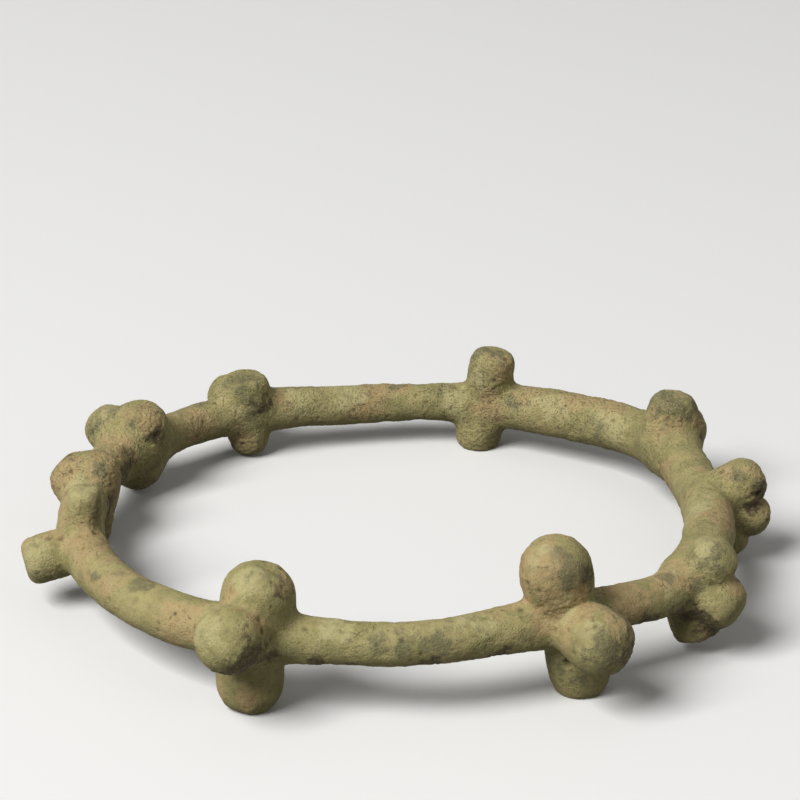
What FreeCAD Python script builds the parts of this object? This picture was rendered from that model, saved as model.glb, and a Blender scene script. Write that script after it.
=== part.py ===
import FreeCAD, Part
import math
import os

# A knobbed bracelet of cast bronze: one closed hoop of round bar, with ten groups of
# three knobs. Each group has a knob on top, one on the outside and one underneath.
# The bracelet lies as it rests on a table: z = 0 is the table, and the hoop is a little
# higher in front than at the back. Lengths are in millimetres and angles in degrees.

hoop_radius = 37.0        # from the middle of the ring to the middle of the bar
bar_diameter = 5.2        # nominal thickness of the bar
hoop_height = 7.2         # height of the middle of the bar above the table, on average
top_reach = 7.5           # nominal distance from the middle of the bar to a top knob's tip
outer_reach = 7.5         # the same for an outer knob
under_reach = 7.5         # the same for an under knob that clears the table
knob_diameter = 6.0       # nominal thickness of a knob's head
wear_depth = 0.3          # how much is worn off the knobs that stand on the table
full_turn = 360.0

# The hoop was bent by hand. These are its places, by their angles round the ring: 0 is
# the right side and 90 the back.
place_angles = {
    "back": 73.0,
    "back_mid": 95.0,
    "back_left_start": 109.0,
    "back_left": 121.0,
    "back_left_mid": 132.0,
    "left_back": 148.5,
    "left_back_mid": 159.0,
    "left": 170.0,
    "left_mid": 183.0,
    "left_front": 196.0,
    "left_front_mid": 212.0,
    "front_left_start": 233.0,
    "front_left": 246.6,
    "front_mid_left": 260.0,
    "front_mid": 274.0,
    "front_mid_right": 289.0,
    "front_right": 302.5,
    "front_right_mid": 315.0,
    "right_front_start": 323.0,
    "right_front": 330.5,
    "right_front_end": 341.0,
    "right_mid": 352.0,
    "right": 365.5,
    "right_back_start": 378.0,
    "right_back": 391.5,
    "right_back_mid": 404.0,
    "back_right": 417.0,
}

# At each place, the shares of hoop_radius, hoop_height and bar_diameter.
place_shares = {
    "back": (1.027, 0.780, 0.98),
    "back_mid": (0.988, 0.748, 0.95),
    "back_left_start": (0.984, 0.775, 1.00),
    "back_left": (1.007, 0.805, 1.02),
    "back_left_mid": (1.017, 0.800, 0.93),
    "left_back": (1.020, 0.805, 1.04),
    "left_back_mid": (1.019, 0.830, 1.04),
    "left": (0.997, 0.850, 1.07),
    "left_mid": (0.990, 0.905, 1.05),
    "left_front": (0.995, 0.985, 1.06),
    "left_front_mid": (1.006, 1.030, 1.03),
    "front_left_start": (1.002, 1.100, 1.09),
    "front_left": (0.999, 1.195, 1.05),
    "front_mid_left": (0.970, 1.202, 0.93),
    "front_mid": (0.967, 1.222, 0.90),
    "front_mid_right": (0.939, 1.240, 1.00),
    "front_right": (0.953, 1.250, 1.04),
    "front_right_mid": (0.980, 1.230, 0.92),
    "right_front_start": (1.022, 1.205, 0.96),
    "right_front": (1.008, 1.180, 1.06),
    "right_front_end": (1.002, 1.155, 1.12),
    "right_mid": (0.996, 1.120, 1.16),
    "right": (0.994, 1.070, 1.13),
    "right_back_start": (1.014, 1.000, 1.14),
    "right_back": (1.062, 0.955, 1.13),
    "right_back_mid": (1.076, 0.880, 1.17),
    "back_right": (1.046, 0.830, 1.17),
}

# Each knob's lift (0 points outwards, 90 up, -90 down) and its lean along the bar.
knob_angles = {
    "back": {
        "top": (90.0, -9.0),
        "outer": (8.0, -2.0),
        "under": (-90.0, 9.0),
    },
    "back_left": {
        "top": (90.0, 4.0),
        "outer": (4.0, 0.0),
        "under": (-90.0, -5.0),
    },
    "left_back": {
        "top": (103.0, 0.0),
        "outer": (24.0, 0.0),
        "under": (-90.0, -12.0),
    },
    "left": {
        "top": (105.0, 0.0),
        "outer": (40.0, 0.0),
        "under": (-86.0, 4.0),
    },
    "left_front": {
        "top": (92.0, 0.0),
        "outer": (-12.0, 0.0),
        "under": (-115.0, 4.0),
    },
    "front_left": {
        "top": (90.0, 8.0),
        "outer": (20.0, 0.0),
        "under": (-90.0, -4.0),
    },
    "front_right": {
        "top": (90.0, -15.0),
        "outer": (2.0, -1.0),
        "under": (-90.0, 17.0),
    },
    "right_front": {
        "top": (41.0, 0.0),
        "outer": (-19.0, 0.0),
        "under": (-70.0, 0.0),
    },
    "right": {
        "top": (28.0, 0.0),
        "outer": (-17.0, 0.0),
        "under": (-58.0, 0.0),
    },
    "right_back": {
        "top": (86.0, 0.0),
        "outer": (44.0, 0.0),
        "under": (-58.0, -15.0),
    },
}

# Each knob's shares of its side's reach and of knob_diameter, then how square its end is
# and how much of its end is flat, both as shares. A knob with a reach of None stands on
# the table, so the height of the bar there sets its length.
knob_shares = {
    "back": {
        "top": (0.99, 0.95, 0.75, 0.45),
        "outer": (0.82, 0.82, 0.60, 0.25),
        "under": (None, 0.98, 0.80, 0.50),
    },
    "back_left": {
        "top": (0.68, 1.07, 0.72, 0.50),
        "outer": (0.98, 0.90, 0.60, 0.20),
        "under": (0.73, 0.85, 0.65, 0.35),
    },
    "left_back": {
        "top": (0.82, 1.06, 0.60, 0.20),
        "outer": (0.93, 0.90, 0.60, 0.20),
        "under": (0.61, 0.78, 0.70, 0.40),
    },
    "left": {
        "top": (0.68, 0.88, 0.60, 0.20),
        "outer": (0.67, 0.98, 0.60, 0.20),
        "under": (None, 0.92, 0.70, 0.40),
    },
    "left_front": {
        "top": (0.97, 0.67, 0.75, 0.50),
        "outer": (0.92, 0.95, 0.75, 0.45),
        "under": (0.74, 0.72, 0.65, 0.30),
    },
    "front_left": {
        "top": (1.12, 1.34, 0.60, 0.15),
        "outer": (1.24, 1.22, 0.60, 0.20),
        "under": (None, 1.22, 0.62, 0.25),
    },
    "front_right": {
        "top": (1.36, 1.30, 0.56, 0.12),
        "outer": (1.31, 1.22, 0.60, 0.20),
        "under": (None, 1.13, 0.75, 0.45),
    },
    "right_front": {
        "top": (0.93, 0.96, 0.60, 0.20),
        "outer": (0.99, 1.07, 0.60, 0.20),
        "under": (0.95, 0.95, 0.75, 0.45),
    },
    "right": {
        "top": (1.03, 0.98, 0.58, 0.15),
        "outer": (1.08, 0.88, 0.60, 0.20),
        "under": (1.02, 0.86, 0.65, 0.30),
    },
    "right_back": {
        "top": (0.96, 1.00, 0.70, 0.35),
        "outer": (0.74, 0.80, 0.60, 0.20),
        "under": (None, 0.76, 0.70, 0.35),
    },
}

section_sides = 8         # splines that carry the bar's round section
foot_share = 0.80         # a knob's foot inside the bar, as a share of the bar
neck_share = 0.92         # its neck as a share of the head, before the head swells
head_depth_share = 0.92   # depth of the head's rounded end, as a share of its radius
neck_place_share = 0.45   # where the neck lies on the way to the head's widest place
swell_place_share = 0.70  # where the head reaches its full width on that way
table_share = 3.0         # width of the block under the table, as a share of hoop_radius


def place_centre(name):
    """Return the middle of the bar at a place."""
    radius_share, height_share, bar_share = place_shares[name]
    radius = hoop_radius * radius_share
    turn = math.radians(place_angles[name])
    height = hoop_height * height_share
    return FreeCAD.Vector(radius * math.cos(turn), radius * math.sin(turn), height)


def bar_radius(name):
    """Return half the bar's thickness at a place."""
    return bar_diameter * place_shares[name][2] / 2


def place_directions(name):
    """Return the outward, along-the-bar and upward directions at a place."""
    turn = math.radians(place_angles[name])
    outwards = FreeCAD.Vector(math.cos(turn), math.sin(turn), 0)
    along = FreeCAD.Vector(-math.sin(turn), math.cos(turn), 0)
    return outwards, along, FreeCAD.Vector(0, 0, 1)


def hoop_line(side):
    """Run a closed spline along one side of the bar, past every place.

    A closed cubic spline with n equal steps runs inside its poles, at (2 + cos(360 / n)) / 3
    of their radius, so the poles stand out by the inverse of that.
    """
    start = place_angles["back"]
    swell = 3 / (2 + math.cos(math.radians(full_turn / section_sides)))
    roll = math.radians(full_turn * side / section_sides)
    points = []
    for name in place_angles:
        outwards, along, upwards = place_directions(name)
        across = outwards * math.cos(roll) + upwards * math.sin(roll)
        points.append(place_centre(name) + across * (bar_radius(name) * swell))
    turns = [(angle - start) / full_turn for angle in place_angles.values()]
    line = Part.BSplineCurve()
    line.interpolate(Points=points, Parameters=turns + [1.0], PeriodicFlag=True)
    return line


def make_hoop():
    """Skin the hoop: a round section carried along the splines on its sides."""
    lines = [hoop_line(side) for side in range(section_sides)]
    surface = Part.BSplineSurface()
    surface.buildFromPolesMultsKnots(
        [line.getPoles() for line in lines],
        [1] * (section_sides + 1),
        lines[0].getMultiplicities(),
        list(range(section_sides + 1)),
        lines[0].getKnots(),
        True,
        True,
        3,
        3,
    )
    return Part.makeSolid(Part.makeShell([surface.toShape()]))


def knob_direction(name, side):
    """Return the way a knob points, from its lift and its lean along the bar."""
    outwards, along, upwards = place_directions(name)
    lift, lean = [math.radians(angle) for angle in knob_angles[name][side]]
    square = outwards * math.cos(lift) + upwards * math.sin(lift)
    return square * math.cos(lean) + along * math.sin(lean)


def knob_outline(foot, head, reach, squareness, flat):
    """Draw half of a knob's outline: foot, swelling neck, rounded end and worn flat."""
    widest = reach - head * head_depth_share
    side = Part.BezierCurve()
    side.setPoles([
        FreeCAD.Vector(foot, 0, 0),
        FreeCAD.Vector(head * neck_share, 0, widest * neck_place_share),
        FreeCAD.Vector(head, 0, widest * swell_place_share),
        FreeCAD.Vector(head, 0, widest),
    ])
    end = Part.BezierCurve()
    end.setPoles([
        FreeCAD.Vector(head, 0, widest),
        FreeCAD.Vector(head, 0, widest + (reach - widest) * squareness),
        FreeCAD.Vector(flat + (head - flat) * squareness, 0, reach),
        FreeCAD.Vector(flat, 0, reach),
    ])
    root = FreeCAD.Vector(0, 0, 0)
    tip = FreeCAD.Vector(0, 0, reach)
    closing = Part.makePolygon([FreeCAD.Vector(flat, 0, reach), tip, root, FreeCAD.Vector(foot, 0, 0)])
    return Part.Wire([side.toShape(), end.toShape()] + closing.Edges)


def make_knob(name, side):
    """Turn a knob about its own axis and stand it on the bar at a place."""
    reach_share, head_share, squareness, flat_share = knob_shares[name][side]
    direction = knob_direction(name, side)
    centre = place_centre(name)
    if reach_share is None:
        reach = (centre.z + wear_depth) / -direction.z
    else:
        reach = {"top": top_reach, "outer": outer_reach, "under": under_reach}[side] * reach_share
    head = knob_diameter * head_share / 2
    foot = bar_radius(name) * foot_share
    outline = knob_outline(foot, head, reach, squareness, head * flat_share)
    solid = Part.Face(outline).revolve(FreeCAD.Vector(0, 0, 0), FreeCAD.Vector(0, 0, 1), full_turn)
    solid.Placement = FreeCAD.Placement(centre, FreeCAD.Rotation(FreeCAD.Vector(0, 0, 1), direction))
    return solid


def make_table():
    """Make the block under the table that wears the lowest knobs flat."""
    width = hoop_radius * table_share
    corner = FreeCAD.Vector(-width / 2, -width / 2, -width)
    return Part.makeBox(width, width, width, corner)


def make_knobs(hoop):
    """Make every knob, each cut by the table, the hoop and the knobs made before it."""
    table = make_table()
    knobs = {}
    for name, sides in knob_shares.items():
        for side in sides:
            solid = make_knob(name, side)
            for other in [table, hoop] + list(knobs.values()):
                if solid.BoundBox.intersect(other.BoundBox):
                    solid = solid.cut(other)
            knobs["knob_" + name + "_" + side] = max(solid.Solids, key=lambda piece: piece.Volume)
    return knobs


def main():
    """Make every piece, centre the bracelet over the origin and write its files."""
    os.makedirs("parts", exist_ok=True)
    hoop = make_hoop()
    pieces = {"hoop": hoop}
    pieces.update(make_knobs(hoop))
    box = FreeCAD.BoundBox()
    for piece in pieces.values():
        box.add(piece.optimalBoundingBox(False, False))
    shift = FreeCAD.Vector(-box.Center.x, -box.Center.y, 0)
    for name, piece in pieces.items():
        piece.translate(shift)
        piece.exportStep(os.path.join("parts", name + ".step"))
    print("length and width", round(box.XLength, 2), round(box.YLength, 2))
    print("middle of the ring", round(shift.x, 3), round(shift.y, 3))


main()
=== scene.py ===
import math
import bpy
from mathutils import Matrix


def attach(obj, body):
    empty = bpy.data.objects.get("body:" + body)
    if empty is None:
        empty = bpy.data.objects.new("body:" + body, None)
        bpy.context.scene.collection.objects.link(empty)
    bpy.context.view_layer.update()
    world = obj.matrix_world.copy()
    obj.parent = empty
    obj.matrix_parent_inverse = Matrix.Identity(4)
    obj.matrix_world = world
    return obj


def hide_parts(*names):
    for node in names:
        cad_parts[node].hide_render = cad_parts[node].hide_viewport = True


bl_info = {
    "name": "Knobbed bronze bracelet",
    "version": (1, 0, 0),
    "blender": (4, 5, 0),
    "location": "3D View > Sidebar > Bracelet",
    "description": "Makes a worn bronze bracelet with ten groups of three knobs, and a small studio",
    "category": "Object",
}

import bpy
import numpy as np
from bpy.props import FloatProperty, FloatVectorProperty, IntProperty, PointerProperty
from bpy.types import Operator, Panel, PropertyGroup
from mathutils import Matrix, Vector

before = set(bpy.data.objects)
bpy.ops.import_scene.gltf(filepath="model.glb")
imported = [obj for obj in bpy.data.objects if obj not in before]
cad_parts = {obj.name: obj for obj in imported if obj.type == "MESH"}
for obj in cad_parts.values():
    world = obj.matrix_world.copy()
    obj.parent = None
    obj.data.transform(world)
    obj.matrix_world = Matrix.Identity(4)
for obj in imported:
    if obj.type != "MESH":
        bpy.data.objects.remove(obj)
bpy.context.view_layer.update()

BODY = "root"
FULL_TURN = 360.0

# The hoop was bent by hand. These are its places, by their angles round the ring: 0 is
# the right side and 90 the back.
PLACE_ANGLES = {
    "back": 73.0,
    "back_mid": 95.0,
    "back_left_start": 109.0,
    "back_left": 121.0,
    "back_left_mid": 132.0,
    "left_back": 148.5,
    "left_back_mid": 159.0,
    "left": 170.0,
    "left_mid": 183.0,
    "left_front": 196.0,
    "left_front_mid": 212.0,
    "front_left_start": 233.0,
    "front_left": 246.6,
    "front_mid_left": 260.0,
    "front_mid": 274.0,
    "front_mid_right": 289.0,
    "front_right": 302.5,
    "front_right_mid": 315.0,
    "right_front_start": 323.0,
    "right_front": 330.5,
    "right_front_end": 341.0,
    "right_mid": 352.0,
    "right": 365.5,
    "right_back_start": 378.0,
    "right_back": 391.5,
    "right_back_mid": 404.0,
    "back_right": 417.0,
}

# At each place, the shares of hoop_radius, hoop_height and bar_diameter.
PLACE_SHARES = {
    "back": (1.027, 0.780, 0.98),
    "back_mid": (0.988, 0.748, 0.95),
    "back_left_start": (0.984, 0.775, 1.00),
    "back_left": (1.007, 0.805, 1.02),
    "back_left_mid": (1.017, 0.800, 0.93),
    "left_back": (1.020, 0.805, 1.04),
    "left_back_mid": (1.019, 0.830, 1.04),
    "left": (0.997, 0.850, 1.07),
    "left_mid": (0.990, 0.905, 1.05),
    "left_front": (0.995, 0.985, 1.06),
    "left_front_mid": (1.006, 1.030, 1.03),
    "front_left_start": (1.002, 1.100, 1.09),
    "front_left": (0.999, 1.195, 1.05),
    "front_mid_left": (0.970, 1.202, 0.93),
    "front_mid": (0.967, 1.222, 0.90),
    "front_mid_right": (0.939, 1.240, 1.00),
    "front_right": (0.953, 1.250, 1.04),
    "front_right_mid": (0.980, 1.230, 0.92),
    "right_front_start": (1.022, 1.205, 0.96),
    "right_front": (1.008, 1.180, 1.06),
    "right_front_end": (1.002, 1.155, 1.12),
    "right_mid": (0.996, 1.120, 1.16),
    "right": (0.994, 1.070, 1.13),
    "right_back_start": (1.014, 1.000, 1.14),
    "right_back": (1.062, 0.955, 1.13),
    "right_back_mid": (1.076, 0.880, 1.17),
    "back_right": (1.046, 0.830, 1.17),
}

# Each knob's lift (0 points outwards, 90 up, -90 down) and its lean along the bar.
KNOB_ANGLES = {
    "back": {"top": (90.0, -9.0), "outer": (8.0, -2.0), "under": (-90.0, 9.0)},
    "back_left": {"top": (90.0, 4.0), "outer": (4.0, 0.0), "under": (-90.0, -5.0)},
    "left_back": {"top": (103.0, 0.0), "outer": (24.0, 0.0), "under": (-90.0, -12.0)},
    "left": {"top": (105.0, 0.0), "outer": (40.0, 0.0), "under": (-86.0, 4.0)},
    "left_front": {"top": (92.0, 0.0), "outer": (-12.0, 0.0), "under": (-115.0, 4.0)},
    "front_left": {"top": (90.0, 8.0), "outer": (20.0, 0.0), "under": (-90.0, -4.0)},
    "front_right": {"top": (90.0, -15.0), "outer": (2.0, -1.0), "under": (-90.0, 17.0)},
    "right_front": {"top": (41.0, 0.0), "outer": (-19.0, 0.0), "under": (-70.0, 0.0)},
    "right": {"top": (28.0, 0.0), "outer": (-17.0, 0.0), "under": (-58.0, 0.0)},
    "right_back": {"top": (86.0, 0.0), "outer": (44.0, 0.0), "under": (-58.0, -15.0)},
}

# Each knob's shares of its side's reach and of knob_diameter, then how square its end is
# and how much of its end is flat. A knob with a reach of None stands on the table.
KNOB_SHARES = {
    "back": {
        "top": (0.99, 0.95, 0.75, 0.45),
        "outer": (0.82, 0.82, 0.60, 0.25),
        "under": (None, 0.98, 0.80, 0.50),
    },
    "back_left": {
        "top": (0.68, 1.07, 0.72, 0.50),
        "outer": (0.98, 0.90, 0.60, 0.20),
        "under": (0.73, 0.85, 0.65, 0.35),
    },
    "left_back": {
        "top": (0.82, 1.06, 0.60, 0.20),
        "outer": (0.93, 0.90, 0.60, 0.20),
        "under": (0.61, 0.78, 0.70, 0.40),
    },
    "left": {
        "top": (0.68, 0.88, 0.60, 0.20),
        "outer": (0.67, 0.98, 0.60, 0.20),
        "under": (None, 0.92, 0.70, 0.40),
    },
    "left_front": {
        "top": (0.97, 0.67, 0.75, 0.50),
        "outer": (0.92, 0.95, 0.75, 0.45),
        "under": (0.74, 0.72, 0.65, 0.30),
    },
    "front_left": {
        "top": (1.12, 1.34, 0.60, 0.15),
        "outer": (1.24, 1.22, 0.60, 0.20),
        "under": (None, 1.22, 0.62, 0.25),
    },
    "front_right": {
        "top": (1.36, 1.30, 0.56, 0.12),
        "outer": (1.31, 1.22, 0.60, 0.20),
        "under": (None, 1.13, 0.75, 0.45),
    },
    "right_front": {
        "top": (0.93, 0.96, 0.60, 0.20),
        "outer": (0.99, 1.07, 0.60, 0.20),
        "under": (0.95, 0.95, 0.75, 0.45),
    },
    "right": {
        "top": (1.03, 0.98, 0.58, 0.15),
        "outer": (1.08, 0.88, 0.60, 0.20),
        "under": (1.02, 0.86, 0.65, 0.30),
    },
    "right_back": {
        "top": (0.96, 1.00, 0.70, 0.35),
        "outer": (0.74, 0.80, 0.60, 0.20),
        "under": (None, 0.76, 0.70, 0.35),
    },
}

# The shares that draw a knob's outline, as in the solids.
FOOT_SHARE = 0.80
NECK_SHARE = 0.92
HEAD_DEPTH_SHARE = 0.92
NECK_PLACE_SHARE = 0.45
SWELL_PLACE_SHARE = 0.70
HEART_SHARE = 0.80        # the place inside a knob that its outline is measured from
CURVE_STEPS = 60          # points along each curve of an outline
FLAT_STEPS = 12           # points along the flat of its end
FOOT_STEPS = 24           # points across its foot

# How the joined surface is found along a ray, and how a knob's points are spread.
HOOP_START_SHARE = 0.9    # of the bar's radius, where the hoop's rays start to look
KNOB_START_SHARE = 0.6    # of a knob's own outline, where its rays start to look
WALK_STEPS = 12           # steps outwards until a ray is outside
HALVINGS = 9              # how often the last step is halved
SLOPE_STEPS = 20          # the crease softness is cut into this many to measure slopes
TUCK_END_SHARE = 3.0      # of the join overlap, where a piece is tucked in fully
TUCK_LIMIT_SHARE = 0.5    # of the way out to the surface, the deepest tuck
FILLET_PLACE_SHARE = 1.3  # of the bar's radius, where a knob's rings lie closest
FILLET_WIDTH_SHARE = 0.4  # of the bar's radius, how far from there they thin out
FILLET_EXTRA = 4          # rings added there for each one elsewhere
FLOOR_SQUARES = 8         # along each side of the floor

# How softly each group is smeared into the hoop, as a share of the two softnesses.
SOFTNESS_SHARES = {
    "back": 1.2,
    "back_left": 0.8,
    "left_back": 3.2,
    "left": 1.8,
    "left_front": 0.8,
    "front_left": 1.6,
    "front_right": 1.2,
    "right_front": 1.5,
    "right": 0.7,
    "right_back": 2.8,
}

# How grainy the surface is at each group. The front has been rubbed smooth.
GRAIN_SHARES = {
    "back": 1.0,
    "back_left": 0.95,
    "left_back": 0.85,
    "left": 0.75,
    "left_front": 0.45,
    "front_left": 0.15,
    "front_right": 0.35,
    "right_front": 0.40,
    "right": 0.75,
    "right_back": 0.85,
}

# Spots of soil. Each is at a place on the hoop, moved outwards, along the bar and up by
# shares of bar_diameter, and the last share is its radius.
SOIL_SHARES = (
    ("left", 0.55, 0.50, 0.50, 0.85),
    ("left", 0.20, 0.10, 0.60, 0.45),
    ("left_back_mid", -0.10, -0.20, 0.40, 0.75),
    ("left_back", 0.10, -0.70, 0.60, 0.80),
    ("left_back", -0.20, 0.60, 1.30, 0.50),
    ("left_mid", 0.30, 0.10, 0.40, 0.80),
    ("left_front", 0.75, 0.05, 0.50, 0.50),
    ("left_front", 0.20, 0.60, 0.50, 0.55),
    ("left_front_mid", -0.20, -0.90, 0.40, 0.75),
    ("left_front_mid", -0.30, -0.10, 0.40, 0.45),
    ("front_left_start", 0.50, 0.30, 0.20, 0.75),
    ("front_left", 0.70, -0.25, 1.10, 0.42),
    ("front_left", -0.12, 0.62, 1.44, 0.40),
    ("front_left", 0.85, 0.35, 0.85, 0.38),
    ("front_left", 0.50, 0.10, -1.10, 0.45),
    ("front_right", 0.50, -0.75, 0.95, 0.62),
    ("front_right", 0.10, -0.55, 1.45, 0.80),
    ("front_right", 1.50, 0.10, 0.75, 0.55),
    ("front_right", 0.60, -0.45, 0.60, 0.72),
    ("front_right", 0.95, -0.10, 0.75, 0.45),
    ("front_right", 1.00, -0.50, -0.10, 0.40),
    ("front_right_mid", 0.20, -0.30, 0.35, 0.85),
    ("right_front_start", 0.10, 0.10, 0.50, 0.60),
    ("right_front", 1.20, 0.00, 0.10, 0.35),
    ("right_mid", 0.30, -0.40, 0.50, 0.70),
    ("right", 1.20, -0.20, 0.85, 0.25),
    ("right_back", -0.20, -0.20, 0.90, 0.60),
    ("right_back", 0.62, -0.50, 0.85, 0.50),
    ("right_back_mid", -0.20, 0.20, 0.50, 0.50),
    ("back", -0.25, -0.55, 1.15, 0.38),
    ("back", -0.50, -0.30, 0.20, 0.45),
    ("back_mid", -0.45, 0.20, 0.10, 0.60),
    ("back_left_mid", -0.40, 0.30, 0.25, 0.60),
    ("back_right", -0.30, 0.60, 0.45, 0.45),
    ("right_mid", 0.40, 0.50, 0.35, 0.50),
    ("back_left", -0.45, -0.85, 0.35, 0.32),
    ("left_back", -0.50, 0.10, 1.10, 0.50),
)

# Dark grey-green patches, in the same form.
TARNISH_SHARES = (
    ("back", -0.10, 0.15, 1.40, 0.42),
    ("back", -0.10, -0.25, 1.38, 0.34),
    ("back", -0.45, -0.95, 0.25, 0.34),
    ("back", -0.45, 0.90, 0.35, 0.34),
    ("back", -0.25, 0.25, 0.90, 0.22),
    ("back_mid", -0.10, -0.60, 0.50, 0.30),
    ("back_left", -0.12, 0.36, 0.95, 0.44),
    ("back_left", -0.18, 0.02, 0.95, 0.40),
    ("back_left", -0.40, 0.36, 0.78, 0.32),
    ("left_back", 0.40, 0.20, 0.75, 0.30),
    ("left_back", -0.35, 0.50, 0.90, 0.34),
    ("left", -0.40, 0.40, 0.75, 0.36),
    ("left", -0.45, 0.70, 0.45, 0.32),
    ("left_front_mid", 0.48, 0.20, 0.45, 0.30),
    ("left_front_mid", -0.10, 1.40, 0.66, 0.36),
    ("left_front", -0.10, -0.10, 1.42, 0.14),
    ("left_front", -0.35, 0.25, 0.85, 0.32),
    ("front_left", 0.10, 0.52, 1.38, 0.24),
    ("front_left", -0.02, 0.84, 1.16, 0.22),
    ("front_left", 0.10, 0.20, 1.58, 0.22),
    ("front_mid", 0.60, -0.80, 0.43, 0.48),
    ("front_mid", 0.60, -0.35, 0.40, 0.48),
    ("front_mid", 0.60, 0.10, 0.36, 0.48),
    ("front_mid", 0.60, 0.55, 0.32, 0.48),
    ("front_right", 0.46, -0.46, 1.74, 0.42),
    ("front_right", 0.58, -0.46, 1.48, 0.44),
    ("front_right", 0.66, -0.05, 1.42, 0.34),
    ("front_right", 1.72, -0.30, 0.30, 0.42),
    ("front_right", 1.66, -0.24, -0.05, 0.40),
    ("front_right", 0.36, -0.30, -0.95, 0.30),
    ("front_right", 0.62, 0.10, -1.20, 0.26),
    ("right_front_start", 0.00, -0.10, 0.50, 0.24),
    ("right_front_start", 0.50, 0.40, 0.20, 0.30),
    ("back_right", -0.40, 0.60, 0.20, 0.34),
    ("right_back_mid", -0.50, 0.40, 0.05, 0.34),
    ("right_front", 0.66, -0.38, 0.97, 0.52),
    ("right_front", 1.00, -0.40, 0.70, 0.24),
    ("right", 0.60, -0.40, 0.80, 0.24),
    ("right", 1.10, -0.45, 0.55, 0.26),
    ("right_back", -0.25, 0.14, 1.40, 0.58),
    ("right_back", -0.10, -0.30, 1.36, 0.50),
    ("right_back", 0.45, -0.20, 1.05, 0.26),
)

# Pale dry patches. Two of them are painted light, as marked below.
STRAW_AND_LIGHT_SHARES = (
    ("front_left", 1.62, -0.28, 0.72, 0.50),
    ("front_left", 0.40, 0.10, 1.40, 0.42),
    ("front_mid_left", 0.10, 0.10, 0.48, 0.50),
    ("front_mid_right", 0.30, -0.40, 0.40, 0.42),
    ("left_front", 1.15, 0.45, 0.06, 0.62),
    # painted light on the front of the left_front top knob
    ("left_front", 0.20, 0.20, 1.30, 0.58),
    ("left_back", 0.70, 0.20, 0.60, 0.40),
    ("right_front", 0.64, -0.34, 1.00, 0.24),
    ("front_right", 1.40, -0.41, 0.60, 0.32),
    ("front_right", 0.10, -0.70, 1.70, 0.26),
    # painted light in the crease between the front_right knobs and the hoop, lifting it out of its shade
    ("front_right", 0.75, -0.60, 0.70, 0.42),
    ("right_mid", -0.20, 0.10, 0.50, 0.50),
    ("back", -0.55, 0.10, 0.85, 0.60),
    ("back", -0.50, 0.60, 0.10, 0.45),
    ("back_left", -0.60, 0.30, 0.10, 0.45),
    ("right_back_mid", -0.45, -0.10, 0.25, 0.60),
    ("back_right", -0.40, 0.10, 0.30, 0.60),
    ("back_mid", -0.30, 0.70, 0.40, 0.60),
    ("back_left_start", -0.35, 0.20, 0.35, 0.50),
)

# Dark brown patches, in the same form. Some of them are painted shade and painted shadow, as marked
# below.
UMBER_AND_SHADE_SHARES = (
    ("left_back", -0.80, 0.20, 0.60, 0.36),
    ("left_back_mid", -0.45, 0.20, -0.10, 0.50),
    ("back_left", -0.62, -0.38, 0.42, 0.22),
    ("back_left", -0.66, -0.10, 0.42, 0.26),
    ("back_left", -0.66, 0.12, 0.42, 0.20),
    ("left", -0.60, 0.60, -0.10, 0.40),
    # painted shade on the shaded right side of the left_front top knob
    ("left_front", -0.30, 0.55, 0.75, 0.26),
    ("left_front", 0.05, 0.50, 0.40, 0.28),
    ("left_front", 0.90, 0.30, -0.45, 0.34),
    # these four are painted shade on the lower right of the front_left outer knob, over its dark brown
    # patina
    ("front_left", 1.28, 0.64, 0.22, 0.58),
    ("front_left", 0.80, 0.75, -0.15, 0.60),
    ("front_left", 1.45, 0.45, -0.06, 0.58),
    ("front_left", 1.36, 0.05, -0.24, 0.46),
    ("front_left", 0.26, 0.66, 1.20, 0.34),
    ("front_mid_left", 0.35, -0.20, -0.40, 0.40),
    ("front_mid_left", 0.35, 0.60, -0.42, 0.34),
    ("front_mid", 0.30, 0.40, -0.42, 0.34),
    ("front_mid_right", 0.30, 0.00, -0.42, 0.34),
    # these three are painted shade on the lower right of the front_right outer knob
    ("front_right", 1.68, 0.34, -0.10, 0.66),
    ("front_right", 1.40, 0.60, 0.10, 0.50),
    ("front_right", 1.30, 0.20, -0.55, 0.50),
    ("front_right", 0.62, 0.10, 1.22, 0.32),
    ("front_right", 0.60, -0.30, -0.95, 0.30),
    ("front_right_mid", 0.45, 0.20, -0.34, 0.34),
    ("right_front_start", 0.50, 0.00, -0.30, 0.40),
    # these three are a painted shadow under the right_front knobs and the hoop
    ("right_front", 0.70, -0.50, -0.50, 0.50),
    ("right_front", 0.45, -0.80, -0.50, 0.44),
    ("right_front", 0.80, -0.25, -0.80, 0.46),
    ("right_front", 1.00, 0.30, 0.20, 0.35),
    ("right", 1.20, -0.50, 0.40, 0.34),
    ("right", 0.95, -0.35, 0.15, 0.34),
    ("right_back", 0.45, -0.60, 0.45, 0.24),
    ("back", 0.00, 0.10, -0.80, 0.36),
)

# The few large holes.
HOLLOW_SHARES = (
    ("left_back", -0.82, 0.20, 0.62, 0.18),
    ("back_left", -0.66, -0.26, 0.46, 0.16),
    ("front_left", 0.85, 0.62, 0.60, 0.10),
    ("front_left", 1.00, 0.68, 0.20, 0.14),
    ("front_right", 0.44, -0.24, -0.80, 0.14),
    ("right", 1.15, -0.50, 0.40, 0.12),
)

# Each random pattern has its own number, so that no two are alike.
SEEDS = {
    "lumps": 11,
    "ripples": 23,
    "crust": 41,
    "grit": 47,
    "pits": 53,
    "flakes": 67,
    "soil": 79,
    "tarnish": 89,
    "straw": 97,
    "umber": 103,
    "wander": 109,
}

# Each stain's spots, and how much of the rest of the surface its random patches take.
SPOT_SHARES = {
    "soil": SOIL_SHARES,
    "tarnish": TARNISH_SHARES,
    "straw": STRAW_AND_LIGHT_SHARES,
    "umber": UMBER_AND_SHADE_SHARES,
}
COMMON_SHARES = {"soil": 0.50, "tarnish": 0.0, "straw": 0.2, "umber": -0.4}

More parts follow.
